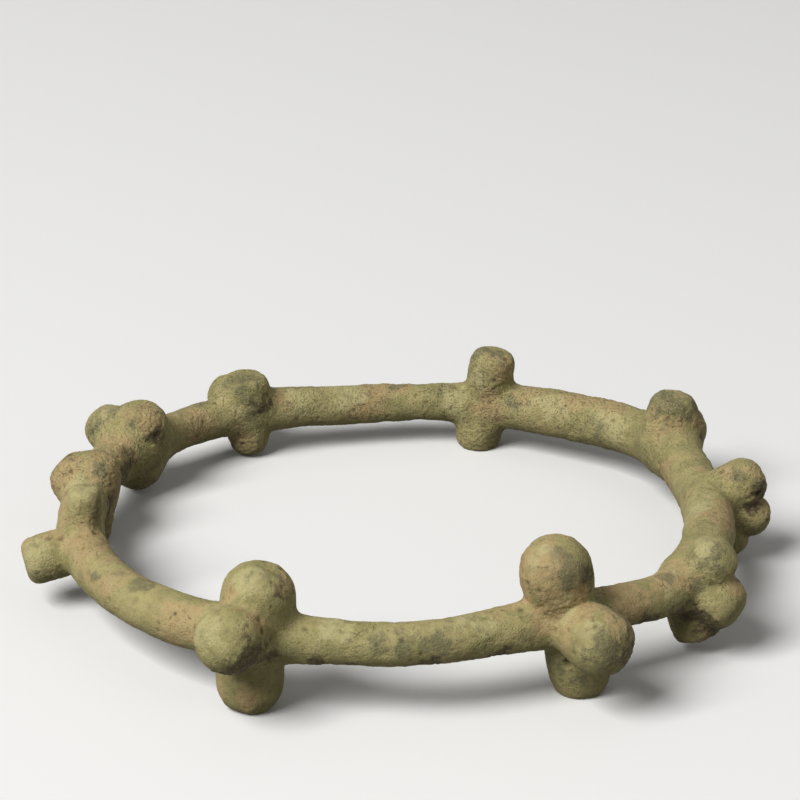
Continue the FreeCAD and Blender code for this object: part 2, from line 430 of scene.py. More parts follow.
# Where in its pattern each kind of wear starts, and where it has its full strength.
SPOT_STEP_SHARES = (-0.20, 0.70)
PATCH_STEP_SHARES = (0.60, 1.40)
CRUST_STEP_SHARES = (0.0, 0.7)
PIT_STEP_SHARES = (0.1, 0.7)
HOLE_STEP_SHARES = (0.0, 0.8)
FLAKE_STEP_SHARES = (0.35, 0.50)
PATCH_WIDTH_SHARE = 1.7   # of the lump width, the random patches of a stain
RAGGED_SHARE = 0.35       # how much noise is added to a spot's edge
WANDER_SHARE = 0.5        # of the stain width, how far a spot's edge is bent
PIT_CHANCE_SHARE = 0.8    # how many of the places for a pit have one
GRIT_LEVEL_SHARE = 0.7    # the height of a grain that leaves the surface where it is

# The tints of the patina, in the order in which they are laid. Each has the pattern that it
# follows, where in the pattern it starts and ends, its strength and its colour. Some spots of the
# pale and dark brown tints are painted light and shade, and the last tint is painted shade in the
# low places between grains, together with the dark of the crust.
TINT_SHARES = (
    ("soil", 0.10, 1.00, 1.00, "soil"),
    ("tarnish", 0.25, 1.05, 0.85, "tarnish"),
    ("straw", 0.20, 1.05, 0.80, "straw"),
    ("mottle", 0.52, 0.75, 0.50, "straw"),
    ("mottle", 0.47, 0.30, 0.45, "tarnish"),
    ("umber", 0.20, 1.05, 0.92, "umber"),
    # painted shade: the hollow colour darkens the low places between grains, together with the crust's
    # dark colour
    ("low", 0.45, 0.05, 0.40, "hollow"),
)
OLIVE_STEP_SHARES = (0.38, 0.62)
DUST_STEP_SHARES = (0.50, 0.70)
PRICK_STEP_SHARES = (0.46, 0.28)
CRACK_LINE_SHARES = (0.022, 0.0)
CRACKED_STEP_SHARES = (0.60, 0.70)
GRAINY_STRENGTH_SHARES = (0.12, 0.50)
ROUGHNESS_SHARES = (0.62, 0.92)
EDGE_STRENGTH_SHARE = 1.5
HOLLOW_STRENGTH_SHARE = 0.7
LEAST_BUMP_SHARE = 0.5
CRACK_BEND_SHARE = 0.35   # of the crackle width, how far a crack bends


def length_value(name, description, default):
    """Define a length that can be set."""
    return FloatProperty(
        name=name, description=description, default=default, subtype="DISTANCE", unit="LENGTH")


def place_value(name, description, default):
    """Define a place that can be set."""
    return FloatVectorProperty(
        name=name, description=description, default=default, size=3, subtype="XYZ", unit="LENGTH")


def angle_value(name, description, degrees):
    """Define an angle that can be set. It is given in degrees."""
    return FloatProperty(
        name=name, description=description, default=math.radians(degrees), subtype="ANGLE",
        unit="ROTATION")


def colour_value(name, description, default):
    """Define a colour that can be set."""
    return FloatVectorProperty(
        name=name, description=description, default=default, size=4, subtype="COLOR",
        min=0.0, max=1.0)


class BraceletForm(PropertyGroup):
    """The driving sizes of the bracelet."""

    ring_middle: FloatVectorProperty(
        name="Ring middle", description="Middle of the ring on the table", size=2,
        default=(-0.001073, 0.000149), subtype="XYZ", unit="LENGTH")
    hoop_radius: length_value(
        "Hoop radius", "From the middle of the ring to the middle of the bar", 0.037)
    bar_diameter: length_value("Bar diameter", "Nominal thickness of the bar", 0.0052)
    hoop_height: length_value(
        "Hoop height", "Middle of the bar above the table, on average", 0.0072)
    top_reach: length_value(
        "Top reach", "Nominal distance from the bar's middle to a top knob's tip", 0.0075)
    outer_reach: length_value("Outer reach", "The same for an outer knob", 0.0075)
    under_reach: length_value(
        "Under reach", "The same for an under knob that clears the table", 0.0075)
    knob_diameter: length_value("Knob diameter", "Nominal thickness of a knob's head", 0.0060)
    wear_depth: length_value(
        "Wear depth", "How much is worn off the knobs that stand on the table", 0.0003)
    join_softness: length_value(
        "Join softness", "Size of the fillets where knobs meet the bar", 0.00048)
    crease_softness: length_value(
        "Crease softness", "Size of the fillets where knobs meet each other", 0.00026)
    join_overlap: length_value(
        "Join overlap", "How far two pieces share one surface where they meet", 0.00035)
    tuck_depth: length_value("Tuck depth", "How deep a piece tucks in under its neighbour", 0.0011)
    search_room: length_value(
        "Search room", "How far past its own outline a piece looks for the surface", 0.0013)
    neighbour_reach: length_value(
        "Neighbour reach", "How near another knob is to change a knob's shape", 0.014)
    hoop_rings: IntProperty(
        name="Hoop rings", description="Rings of points round the hoop", default=1040)
    hoop_sides: IntProperty(
        name="Hoop sides", description="Points round the bar's section", default=76)
    knob_rings: IntProperty(
        name="Knob rings", description="Rings of points from a knob's tip to its foot", default=96)
    knob_sides: IntProperty(
        name="Knob sides", description="Points round a knob", default=120)


class BraceletWear(PropertyGroup):
    """How rough and worn the surface is."""

    lump_width: length_value("Lump width", "Width of the broad worn lumps", 0.0042)
    lump_depth: length_value("Lump depth", "Height of the broad lumps", 0.00020)
    ripple_width: length_value("Ripple width", "Width of the smaller lumps", 0.0013)
    ripple_depth: length_value("Ripple depth", "Height of the smaller lumps", 0.00005)
    grit_spacing: length_value(
        "Grit spacing", "Mean distance between the grains of the crust", 0.00062)
    grit_height: length_value("Grit height", "Height of the grains of the crust", 0.00022)
    pit_spacing: length_value("Pit spacing", "Mean distance between corrosion pits", 0.00095)
    pit_depth: length_value("Pit depth", "Depth of the corrosion pits", 0.00016)
    hole_depth: length_value("Hole depth", "Depth of the few large holes", 0.00045)
    flake_width: length_value(
        "Flake width", "Width of the patches where a skin of patina has flaked", 0.0030)
    flake_depth: length_value("Flake depth", "Thickness of the skin that has flaked", 0.00006)
    stain_width: length_value("Stain width", "Width of the ragged parts of a stain's edge", 0.0014)
    speck_width: length_value("Speck width", "Width of the finest specks", 0.00022)
    speck_height: length_value("Speck height", "Height of the finest specks", 0.00015)
    crackle_width: length_value("Crackle width", "Distance between hairline cracks", 0.0021)


class BraceletPatina(PropertyGroup):
    """The colours of the patina. The pale, dark brown and hollow colours also paint some light and
    shade.
    """

    khaki: colour_value("Khaki", "Main colour of the patina", (0.415, 0.355, 0.155, 1.0))
    olive: colour_value("Olive", "Greener patches of the patina", (0.310, 0.278, 0.112, 1.0))
    # The pale straw colour also paints light on two shaded places of the knobs.
    straw: colour_value("Straw", "Pale dry patches", (0.500, 0.445, 0.215, 1.0))
    soil: colour_value(
        "Soil", "Pinkish burial soil that clings to the metal", (0.445, 0.328, 0.155, 1.0))
    tarnish: colour_value("Tarnish", "Dark grey-green patches", (0.170, 0.157, 0.080, 1.0))
    # Umber is dark enough to stand for shade: besides dark brown patina it paints shade and shadow on
    # some knobs.
    umber: colour_value(
        "Umber", "Dark brown patches where the crust is thick", (0.085, 0.063, 0.033, 1.0))
    # The hollow colour is also laid as painted shade in the low places between grains, where the relief
    # is low.
    hollow: colour_value("Hollow", "Dark brown of pits and cracks", (0.060, 0.042, 0.020, 1.0))


class BraceletStudio(PropertyGroup):
    """The floor, lights and camera."""

    floor_size: length_value("Floor size", "Width of the floor", 4.0)
    floor_colour: colour_value(
        "Floor colour", "Colour of the floor and of what is behind it", (0.93, 0.925, 0.91, 1.0))
    floor_bounce: FloatProperty(
        name="Floor bounce", description="Share of the floor's colour that lights the bracelet",
        default=0.10)
    sky_strength: FloatProperty(
        name="Sky strength", description="Strength of the soft light from all round", default=0.215)
    key_power: FloatProperty(
        name="Key power", description="Power of the main lamp, upper left", default=24.0,
        unit="POWER")
    key_size: length_value("Key size", "Width of the main lamp", 0.75)
    key_place: place_value("Key place", "Where the main lamp hangs", (-0.76, -0.70, 1.10))
    fill_power: FloatProperty(
        name="Fill power", description="Power of the weak lamp on the right", default=0.15,
        unit="POWER")
    fill_size: length_value("Fill size", "Width of the weak lamp", 0.50)
    fill_place: place_value("Fill place", "Where the weak lamp hangs", (0.50, -0.25, 0.35))
    camera_place: place_value(
        "Camera place", "Where the camera stands", (0.000987, -0.32110, 0.159955))
    camera_turn: angle_value("Camera turn", "Turn of the camera about the upright", 0.286)
    camera_tilt: angle_value("Camera tilt", "Tilt of the camera up from straight down", 66.699)
    camera_roll: angle_value("Camera roll", "Roll of the camera about its line of sight", 0.963)
    camera_lens: FloatProperty(
        name="Lens", description="Focal length on a sensor 36 mm wide", default=136.35,
        unit="CAMERA")


def closed_curve(angles, values, at):
    """Run a smooth closed curve through values at angles, and read it at other angles.

    Between two places the curve is a cubic, and its slope and bend match the next cubic's
    (a periodic cubic spline). One set of linear equations gives the bends at the places.
    """
    count = len(angles)
    here = np.arange(count)
    before = here - 1
    after = (here + 1) % count
    step = np.diff(np.append(angles, angles[0] + FULL_TURN))
    slope = (values[after] - values) / step
    matrix = np.zeros((count, count))
    matrix[here, before] = step[before]
    matrix[here, here] = 2 * (step[before] + step)
    matrix[here, after] = step
    bend = np.linalg.solve(matrix, 6 * (slope - slope[before]))
    turned = (at - angles[0]) % FULL_TURN + angles[0]
    i = np.searchsorted(angles, turned, side="right") - 1
    j = after[i]
    left = turned - angles[i]
    right = step[i] - left
    bent = (bend[i] * right**3 + bend[j] * left**3) / (6 * step[i])
    start = (values[i] / step[i] - bend[i] * step[i] / 6) * right
    end = (values[j] / step[i] - bend[j] * step[i] / 6) * left
    return bent + start + end


def read_bar(form):
    """Tabulate the bar round the ring: softness, grain, its middle's place and its own radius."""
    angles = np.array(list(PLACE_ANGLES.values()))
    shares = np.array(list(PLACE_SHARES.values()))
    group_angles = [PLACE_ANGLES[group] for group in SOFTNESS_SHARES]
    group_softness = list(SOFTNESS_SHARES.values())
    group_grain = list(GRAIN_SHARES.values())
    fine = np.arange(0, FULL_TURN, 0.1)
    return {
        "ring_middle": np.array(form.ring_middle),
        "angles": fine,
        "softness": np.interp(fine, group_angles, group_softness, period=FULL_TURN),
        "grain": np.interp(fine, group_angles, group_grain, period=FULL_TURN),
        "radius": closed_curve(angles, shares[:, 0] * form.hoop_radius, fine),
        "height": closed_curve(angles, shares[:, 1] * form.hoop_height, fine),
        "thick": closed_curve(angles, shares[:, 2] * form.bar_diameter / 2, fine),
    }


def bar_at(bar, key, angle):
    """Read one of the bar's tables at angles round the ring."""
    return np.interp(angle, bar["angles"], bar[key], period=FULL_TURN)


def ring_angle(points, bar):
    """Angle of points round the ring."""
    flat = points[:, :2] - bar["ring_middle"]
    return np.degrees(np.arctan2(flat[:, 1], flat[:, 0]))


def bar_clearance(points, bar):
    """Distance of points from the bar's surface, below zero inside the metal.

    A point's angle round the ring picks the bar's middle and radius. The distance is taken
    in the upright plane at that angle: hypot(outwards, upwards) less the bar's radius.
    """
    flat = points[:, :2] - bar["ring_middle"]
    angle = ring_angle(points, bar)
    outwards = np.hypot(flat[:, 0], flat[:, 1]) - bar_at(bar, "radius", angle)
    upwards = points[:, 2] - bar_at(bar, "height", angle)
    return np.hypot(outwards, upwards) - bar_at(bar, "thick", angle)


def bezier(poles, count):
    """Points of a cubic Bezier curve, at equal steps of its parameter."""
    t = np.linspace(0, 1, count)[:, None]
    a, b, c, d = np.array(poles, float)
    return (1 - t)**3 * a + 3 * (1 - t)**2 * t * b + 3 * (1 - t) * t**2 * c + t**3 * d


def ring_frame(bar, place):
    """The bar's middle at a place, then the directions outwards, along the bar and up."""
    angle = PLACE_ANGLES[place]
    turn = math.radians(angle)
    outwards = np.array((math.cos(turn), math.sin(turn), 0))
    along = np.array((-math.sin(turn), math.cos(turn), 0))
    upwards = np.array((0, 0, 1))
    centre = outwards * bar_at(bar, "radius", angle) + upwards * bar_at(bar, "height", angle)
    centre[:2] += bar["ring_middle"]
    return centre, outwards, along, upwards


def knob_outline(foot, head, reach, squareness, flat):
    """Half of a knob's outline from its tip to its foot, as (from the axis, along the axis).

    A straight flat, a Bezier end, a Bezier side that narrows to the neck, and the foot.
    """
    widest = reach - head * HEAD_DEPTH_SHARE
    end = bezier([
        (flat, reach),
        (flat + (head - flat) * squareness, reach),
        (head, widest + (reach - widest) * squareness),
        (head, widest),
    ], CURVE_STEPS)
    side = bezier([
        (head, widest),
        (head, widest * SWELL_PLACE_SHARE),
        (head * NECK_SHARE, widest * NECK_PLACE_SHARE),
        (foot, 0),
    ], CURVE_STEPS)
    top = np.linspace((0, reach), (flat, reach), FLAT_STEPS)
    base = np.linspace((foot, 0), (0, 0), FOOT_STEPS)
    return np.concatenate([top[:-1], end[:-1], side[:-1], base])


def read_knob(form, bar, group, side):
    """Work out one knob: its axis, its outline and the outline seen from inside the knob."""
    lift, lean = np.radians(KNOB_ANGLES[group][side])
    reach_share, head_share, squareness, flat_share = KNOB_SHARES[group][side]
    thick = bar_at(bar, "thick", PLACE_ANGLES[group])
    centre, outwards, along, upwards = ring_frame(bar, group)
    square = outwards * math.cos(lift) + upwards * math.sin(lift)
    axis = square * math.cos(lean) + along * math.sin(lean)
    if reach_share is None:
        reach = (centre[2] + form.wear_depth) / -axis[2]
    else:
        reach = getattr(form, side + "_reach") * reach_share
    head = form.knob_diameter * head_share / 2
    foot = thick * FOOT_SHARE
    outline = knob_outline(foot, head, reach, squareness, head * flat_share)
    heart = (reach - head * HEAD_DEPTH_SHARE) * HEART_SHARE
    seen = outline - (0, heart)
    return {
        "name": "knob_" + group + "_" + side,
        "outwards": outwards,
        "along": along,
        "axis": axis,
        "heart": centre + axis * heart,
        "outline": outline,
        "thick": thick,
        "tilts": np.arctan2(seen[:, 0], seen[:, 1]),
        "reaches": np.hypot(seen[:, 0], seen[:, 1]),
    }


def knob_clearance(points, knob):
    """Distance of points from a knob's surface, below zero inside the metal.

    It is measured from the knob's heart: how far the point is from there, less how far the
    outline is from there at the same tilt from the axis.
    """
    arm = points - knob["heart"]
    distance = np.maximum(np.linalg.norm(arm, axis=1), 1e-9)
    tilt = np.arccos(np.clip(arm @ knob["axis"] / distance, -1, 1))
    return distance - np.interp(tilt, knob["tilts"], knob["reaches"])


def clearances(points, metal):
    """Clearance of points from the bar, then from each knob, one row for each."""
    rows = [bar_clearance(points, metal["bar"])]
    rows += [knob_clearance(points, knob) for knob in metal["knobs"]]
    return np.array(rows)


def soft_join(rows, softness):
    """Join clearances into one, with a fillet wherever two of them are alike.

    It is the least clearance, less softness times the logarithm of the sum of
    exp((least - clearance) / softness). The softness may differ from point to point.
    """
    least = rows.min(axis=0)
    return least - softness * np.log(np.exp((least - rows) / softness).sum(axis=0))


def metal_clearance(points, metal):
    """Clearance of points from the metal: the knobs joined closely, then joined to the bar."""
    rows = clearances(points, metal)
    local = bar_at(metal["bar"], "softness", ring_angle(points, metal["bar"]))
    knobs = soft_join(rows[1:], metal["crease_softness"] * local)
    return soft_join(np.array([rows[0], knobs]), metal["join_softness"] * local)


def find_surface(starts, ways, nearest, farthest, metal):
    """Find where rays leave the metal: walk outwards until outside, then halve the step."""
    low = nearest.copy()
    high = nearest.copy()
    inside = np.ones(len(nearest), bool)
    for share in np.linspace(0, 1, WALK_STEPS + 1)[1:]:
        tried = nearest + (farthest - nearest) * share
        high = np.where(inside, tried, high)
        outside = metal_clearance(starts + ways * high[:, None], metal) > 0
        low = np.where(inside & ~outside, tried, low)
        inside &= ~outside
    for _ in range(HALVINGS):
        middle = (low + high) / 2
        outside = metal_clearance(starts + ways * middle[:, None], metal) > 0
        low = np.where(outside, low, middle)
        high = np.where(outside, middle, high)
    return high


def metal_normals(points, metal):
    """Outward directions at points on the surface, from small steps along each axis."""
    step = metal["crease_softness"] / SLOPE_STEPS
    slopes = []
    for axis in np.eye(3):
        ahead = metal_clearance(points + axis * step, metal)
        behind = metal_clearance(points - axis * step, metal)
        slopes.append(ahead - behind)
    slopes = np.array(slopes).T
    return slopes / np.maximum(np.linalg.norm(slopes, axis=1, keepdims=True), 1e-12)


def smooth_step(values, low, high):
    """Rise smoothly from 0 at low to 1 at high: 3 t squared less 2 t cubed."""
    t = np.clip((values - low) / (high - low), 0, 1)
    return t * t * (3 - 2 * t)


def lattice(cells, seed):
    """Give each whole-numbered place of a grid its own number from 0 to 1.

    The place's three numbers are multiplied by large odd numbers and their bits mixed.
    """
    cells = cells.astype(np.int64).astype(np.uint32)
    mixed = cells[:, 0] * np.uint32(374761393) + cells[:, 1] * np.uint32(668265263)
    mixed += cells[:, 2] * np.uint32(2246822519) + np.uint32(seed * 3266489 + 97)
    mixed = (mixed ^ (mixed >> np.uint32(13))) * np.uint32(1274126177)
    mixed = (mixed ^ (mixed >> np.uint32(16))) * np.uint32(2654435761)
    mixed = mixed ^ (mixed >> np.uint32(15))
    return mixed.astype(float) / 2**32


def soft_noise(points, width, seed):
    """Smooth random swells from -1 to 1, about one for each width.

    The numbers at the corners of each cube of a grid are blended with smooth weights. The
    grid is turned, so that its lines follow no part of the bracelet.
    """
    turn = np.array(Matrix.Rotation(0.7 + seed, 3, Vector((1, 2, 3))))
    scaled = points @ turn / width + seed * 17.3
    base = np.floor(scaled)
    t = scaled - base
    t = t * t * t * (t * (t * 6 - 15) + 10)
    total = np.zeros(len(points))
    for corner in np.ndindex(2, 2, 2):
        corner = np.array(corner)
        weight = np.prod(np.where(corner, t, 1 - t), axis=1)
        total += weight * lattice(base + corner, seed)
    return total * 2 - 1


def rough_noise(points, width, seed, layers):
    """Swells of several sizes: each layer is half as wide and 0.55 times as strong."""
    total = np.zeros(len(points))
    strength = 1.0
    for layer in range(layers):
        total += soft_noise(points, width, seed + layer) * strength
        width *= 0.5
        strength *= 0.55
    return total


def pit_field(points, spacing, seed, chance):
    """Round pits scattered in space: 1 in the middle of a pit and 0 outside all of them.

    Each cube of a grid may hold one pit, near its middle and of a random width. A pit is
    one less its distance's square, squared. The eight nearest cubes are tried.
    """
    scaled = points / spacing
    base = np.floor(scaled - 0.5)
    deepest = np.zeros(len(points))
    for offset in np.ndindex(2, 2, 2):
        cell = base + offset
        place = 0.2 + 0.6 * np.stack([lattice(cell, seed + i) for i in range(3)], axis=1)
        width = 0.15 + 0.45 * lattice(cell, seed + 3)**2
        there = lattice(cell, seed + 4) < chance
        near = np.linalg.norm(cell + place - scaled, axis=1) / width
        deepest = np.maximum(deepest, there * np.clip(1 - near * near, 0, 1)**2)
    return deepest


def grit_field(points, spacing, seed):
    """Grains packed side by side: 1 on top of a grain, falling to 0 between grains.

    Each cube of a grid holds one grain at a random place, and a point belongs to the
    nearest. Its height is one less the distance's square.
    """
    scaled = points / spacing
    base = np.floor(scaled - 0.5)
    nearest = np.full(len(points), 1.0)
    for offset in np.ndindex(2, 2, 2):
        cell = base + offset
        place = 0.15 + 0.7 * np.stack([lattice(cell, seed + i) for i in range(3)], axis=1)
        nearest = np.minimum(nearest, np.linalg.norm(cell + place - scaled, axis=1))
    return 1 - nearest * nearest


def wander(points, width, reach, seed):
    """Shift points at random by up to about reach, so that a round spot turns out crooked."""
    shifts = [soft_noise(points, width, seed + axis) for axis in range(3)]
    return points + np.stack(shifts, axis=1) * reach


def spot_field(points, spots, metal):
    """Strength of a list of spots: 1 in a spot's middle, 0 at its edge and below 0 outside."""
    strength = np.full(len(points), -1.0)
    for place, *shifts, radius in spots:
        centre, *ways = ring_frame(metal["bar"], place)
        middle = centre + np.array(shifts) @ np.array(ways) * metal["bar_diameter"]
        near = np.linalg.norm(points - middle, axis=1) / (radius * metal["bar_diameter"])
        strength = np.maximum(strength, 1 - near)
    return strength


def stain_field(points, crooked, name, metal, wear):
    """Strength of a stain from 0 to 1: its spots with ragged edges, and random patches.

    The spots are looked up at the crooked points. The patches take more of the surface
    where the stain's common share is higher.
    """
    seed = SEEDS[name]
    ragged = rough_noise(points, wear.stain_width, seed, 3)
    patches = rough_noise(points, wear.lump_width * PATCH_WIDTH_SHARE, seed + 5, 3)
    spots = spot_field(crooked, SPOT_SHARES[name], metal) + ragged * RAGGED_SHARE
    start, end = [step - COMMON_SHARES[name] for step in PATCH_STEP_SHARES]
    return np.maximum(smooth_step(spots, *SPOT_STEP_SHARES), smooth_step(patches, start, end))


def read_metal(scene):
    """Work out the bar and all the knobs from the driving sizes."""
    form = scene.bracelet_form
    bar = read_bar(form)
    knobs = [read_knob(form, bar, group, side) for group in KNOB_ANGLES for side in KNOB_ANGLES[group]]
    return {
        "bar": bar,
        "knobs": knobs,
        "join_softness": form.join_softness,
        "crease_softness": form.crease_softness,
        "bar_diameter": form.bar_diameter,
    }


def wear_fields(points, normals, soil, metal, wear):
    """Work out the strength of each kind of wear at points on the surface.

    Broad lumps and small ripples lie everywhere. Crust is thickest on faces that look down.
    Pits come in clusters, holes have their own places, and flaked patches are ragged.
    """
    lumps = rough_noise(points, wear.lump_width, SEEDS["lumps"], 2)
    ripples = rough_noise(points, wear.ripple_width, SEEDS["ripples"], 3)
    swell = soft_noise(points, wear.lump_width, SEEDS["crust"])
    crust = smooth_step(swell - normals[:, 2] * 0.5, *CRUST_STEP_SHARES)
    grit = grit_field(points, wear.grit_spacing, SEEDS["grit"]) - GRIT_LEVEL_SHARE
    pits = pit_field(points, wear.pit_spacing, SEEDS["pits"], PIT_CHANCE_SHARE)
    pits *= smooth_step(ripples * 0.4 - swell + soil * 0.4, *PIT_STEP_SHARES)
    holes = np.clip(spot_field(points, HOLLOW_SHARES, metal) + ripples * 0.15, 0, 1)
    holes = smooth_step(holes, *HOLE_STEP_SHARES)
    flakes = rough_noise(points, wear.flake_width, SEEDS["flakes"], 4)
    flaked = smooth_step(flakes, *FLAKE_STEP_SHARES)
    return lumps, ripples, crust, grit, pits, holes, flaked


def weather(points, normals, metal, wear):
    """Work out how far the surface stands proud, and what the patina needs to know.

    Grit grows on grainy metal, crust, soil and the dark brown patches, some of which are painted shade.
    Pits, holes and flaked patches cut in, and the rims of flaked patches are dark brown.
    """
    crooked = wander(points, wear.stain_width, wear.stain_width * WANDER_SHARE, SEEDS["wander"])
    stains = {name: stain_field(points, crooked, name, metal, wear) for name in SPOT_SHARES}
    soil = stains["soil"]
    umber = stains["umber"]
    lumps, ripples, crust, grit, pits, holes, flaked = wear_fields(points, normals, soil, metal, wear)
    grain = bar_at(metal["bar"], "grain", ring_angle(points, metal["bar"]))
    coarse = np.clip(0.35 * grain + 0.4 * crust + 0.6 * soil**2 + 0.5 * umber, 0, 1)
    proud = lumps * wear.lump_depth / 2 + ripples * wear.ripple_depth
    proud += grit * coarse * wear.grit_height - flaked * wear.flake_depth
    proud -= pits * wear.pit_depth + holes * wear.hole_depth
    facts = {
        # relief: where it is low between grains of crust and dark brown, the patina lays painted shade
        "relief": np.clip(0.5 + ripples * 0.25 + grit * np.clip(crust + umber, 0, 1) * 0.5, 0, 1),
        "pitted": np.clip(pits + holes, 0, 1),
    }
    facts.update(stains)
    facts["umber"] = np.maximum(umber, 0.6 * (1 - (2 * flaked - 1)**2))
    facts["grainy"] = np.clip(grain + 0.3 * crust + 0.2 * ripples, 0, 1)
    return proud, facts


def tuck(high, points, own, scene, metal):
    """Say how far in each point goes where a neighbour's surface takes over from this piece."""
    form = scene.bracelet_form
    rows = clearances(points, metal)
    others = np.delete(rows, own, axis=0).min(axis=0)
    excess = rows[own] - others
    share = smooth_step(excess, form.join_overlap, form.join_overlap * TUCK_END_SHARE)
    return share * np.minimum(form.tuck_depth, high * TUCK_LIMIT_SHARE)


def grid_faces(rings, sides, closed):
    """List the faces of a grid of points that closes sideways, and along its rings too if asked."""
    ring = np.arange(rings if closed else rings - 1)[:, None]
    side = np.arange(sides)[None, :]
    after = (ring + 1) % rings
    beside = (side + 1) % sides
    corners = [ring * sides + side, ring * sides + beside, after * sides + beside, after * sides + side]
    return np.stack([np.broadcast_to(c, (len(ring), sides)) for c in corners], axis=-1).reshape(-1, 4)


def make_piece(name, points, faces, hidden, facts, material, node):
    """Make a mesh object from an open surface, then tuck its hidden points in.

    The normals are taken before the tuck, so that they follow the true surface up to the
    line where the neighbour takes over.
    """
    mesh = bpy.data.meshes.new(name)
    mesh.from_pydata(points.tolist(), [], faces)
    mesh.polygons.foreach_set("use_smooth", np.ones(len(mesh.polygons), bool))
    mesh.update()
    normals = np.zeros(len(points) * 3, np.float32)
    mesh.vertex_normals.foreach_get("vector", normals)
    mesh.vertices.foreach_set("co", (points + hidden).astype(np.float32).ravel())
    mesh.update()
    mesh.normals_split_custom_set_from_vertices(normals.reshape(-1, 3))
    for fact, values in facts.items():
        attribute = mesh.attributes.new(fact, "FLOAT", "POINT")
        attribute.data.foreach_set("value", values.astype(np.float32))
    mesh.materials.append(material)
    piece = bpy.data.objects.new(name, mesh)
    bpy.context.scene.collection.objects.link(piece)
    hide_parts(node)
    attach(piece, BODY)


def finish_surface(points, ways, high, own, scene, metal):
    """Weather the surface and work out what tucks in under the neighbours."""
    normals = metal_normals(points, metal)
    inwards = tuck(high, points, own, scene, metal)
    proud, facts = weather(points, normals, metal, scene.bracelet_wear)
    points = points + normals * proud[:, None]
    points[:, 2] = np.maximum(points[:, 2], 0)
    hidden = -(ways + normals) / 2 * inwards[:, None]
    return points, hidden, facts


def make_hoop(scene):
    """Make the hoop: rays from the middle of the bar, all round it, to the joined surface."""
    form = scene.bracelet_form
    metal = read_metal(scene)
    bar = metal["bar"]
    angle = np.repeat(np.arange(form.hoop_rings) * FULL_TURN / form.hoop_rings, form.hoop_sides)
    roll = np.tile(np.arange(form.hoop_sides) * math.tau / form.hoop_sides, form.hoop_rings)
    turn = np.radians(angle)
    radius = bar_at(bar, "radius", angle)
    height = bar_at(bar, "height", angle)
    starts = np.stack([radius * np.cos(turn), radius * np.sin(turn), height], axis=1)
    starts[:, :2] += bar["ring_middle"]
    ways = np.stack([np.cos(turn) * np.cos(roll), np.sin(turn) * np.cos(roll), np.sin(roll)], axis=1)
    thick = bar_at(bar, "thick", angle)
    high = find_surface(starts, ways, thick * HOOP_START_SHARE, thick + form.search_room, metal)
    points = starts + ways * high[:, None]
    points, hidden, facts = finish_surface(points, ways, high, 0, scene, metal)
    faces = grid_faces(form.hoop_rings, form.hoop_sides, True)[:, ::-1]
    make_piece("bracelet_hoop", points, faces.tolist(), hidden, facts, scene_patina(scene), "hoop")


def near_metal(metal, knob, reach):
    """Keep the bar and the knobs within reach of one knob, with the knob itself first."""
    others = [k for k in metal["knobs"] if k is not knob]
    others = [k for k in others if np.linalg.norm(k["heart"] - knob["heart"]) < reach]
    return dict(metal, knobs=[knob] + others)


def even_tilts(knob, rings):
    """Choose tilts from tip to foot: rings evenly spaced along the outline, closer at the fillet."""
    steps = np.linalg.norm(np.diff(knob["outline"], axis=0), axis=1)
    height = (knob["outline"][1:, 1] + knob["outline"][:-1, 1]) / 2
    fillet = np.exp(-((height / knob["thick"] - FILLET_PLACE_SHARE) / FILLET_WIDTH_SHARE)**2)
    length = np.concatenate([[0], np.cumsum(steps * (1 + FILLET_EXTRA * fillet))])
    wanted = np.linspace(0, length[-1], rings + 2)[1:-1]
    return np.interp(wanted, length, knob["tilts"])


def knob_frame(knob):
    """Two directions square to a knob's axis and to each other."""
    first = np.cross(knob["axis"], knob["along"])
    if np.linalg.norm(first) < 0.1:
        first = np.cross(knob["axis"], knob["outwards"])
    first /= np.linalg.norm(first)
    return first, np.cross(knob["axis"], first)


def knob_ways(knob, rings, sides):
    """Directions from a knob's heart: the tip, then ring after ring, then the foot."""
    tilt = np.repeat(even_tilts(knob, rings), sides)
    roll = np.tile(np.arange(sides) * math.tau / sides, rings)
    first, second = knob_frame(knob)
    ways = np.outer(np.cos(tilt), knob["axis"])
    ways += np.outer(np.sin(tilt) * np.cos(roll), first)
    ways += np.outer(np.sin(tilt) * np.sin(roll), second)
    ways = np.concatenate([[knob["axis"]], ways, [-knob["axis"]]])
    return ways, np.concatenate([[0], tilt, [math.pi]])


def knob_faces(rings, sides):
    """Faces of a knob: a fan at the tip, bands between the rings and a fan at the foot."""
    side = np.arange(sides)
    beside = (side + 1) % sides
    first = 1 + side
    last = 1 + (rings - 1) * sides
    foot = rings * sides + 1
    tip_fan = np.stack([np.zeros(sides, int), first, 1 + beside], axis=1)
    bands = grid_faces(rings, sides, False)[:, ::-1] + 1
    foot_fan = np.stack([np.full(sides, foot), last + beside, last + side], axis=1)
    return tip_fan.tolist() + bands.tolist() + foot_fan.tolist()


def make_knob(scene, metal, knob):
    """Make a knob: rays from its heart, from the tip to the foot, to the joined surface."""
    form = scene.bracelet_form
    local = near_metal(metal, knob, form.neighbour_reach)
    ways, tilt = knob_ways(knob, form.knob_rings, form.knob_sides)
    own = np.interp(tilt, knob["tilts"], knob["reaches"])
    starts = np.broadcast_to(knob["heart"], ways.shape)
    high = find_surface(starts, ways, own * KNOB_START_SHARE, own + form.search_room, local)
    points = starts + ways * high[:, None]
    points, hidden, facts = finish_surface(points, ways, high, 1, scene, local)
    faces = knob_faces(form.knob_rings, form.knob_sides)
    name = "bracelet_" + knob["name"]
    make_piece(name, points, faces, hidden, facts, scene_patina(scene), knob["name"])


def make_knobs(scene, side):
    """Make every knob of one side: top, outer or under."""
    metal = read_metal(scene)
    for knob in metal["knobs"]:
        if knob["name"].endswith("_" + side):
            make_knob(scene, metal, knob)


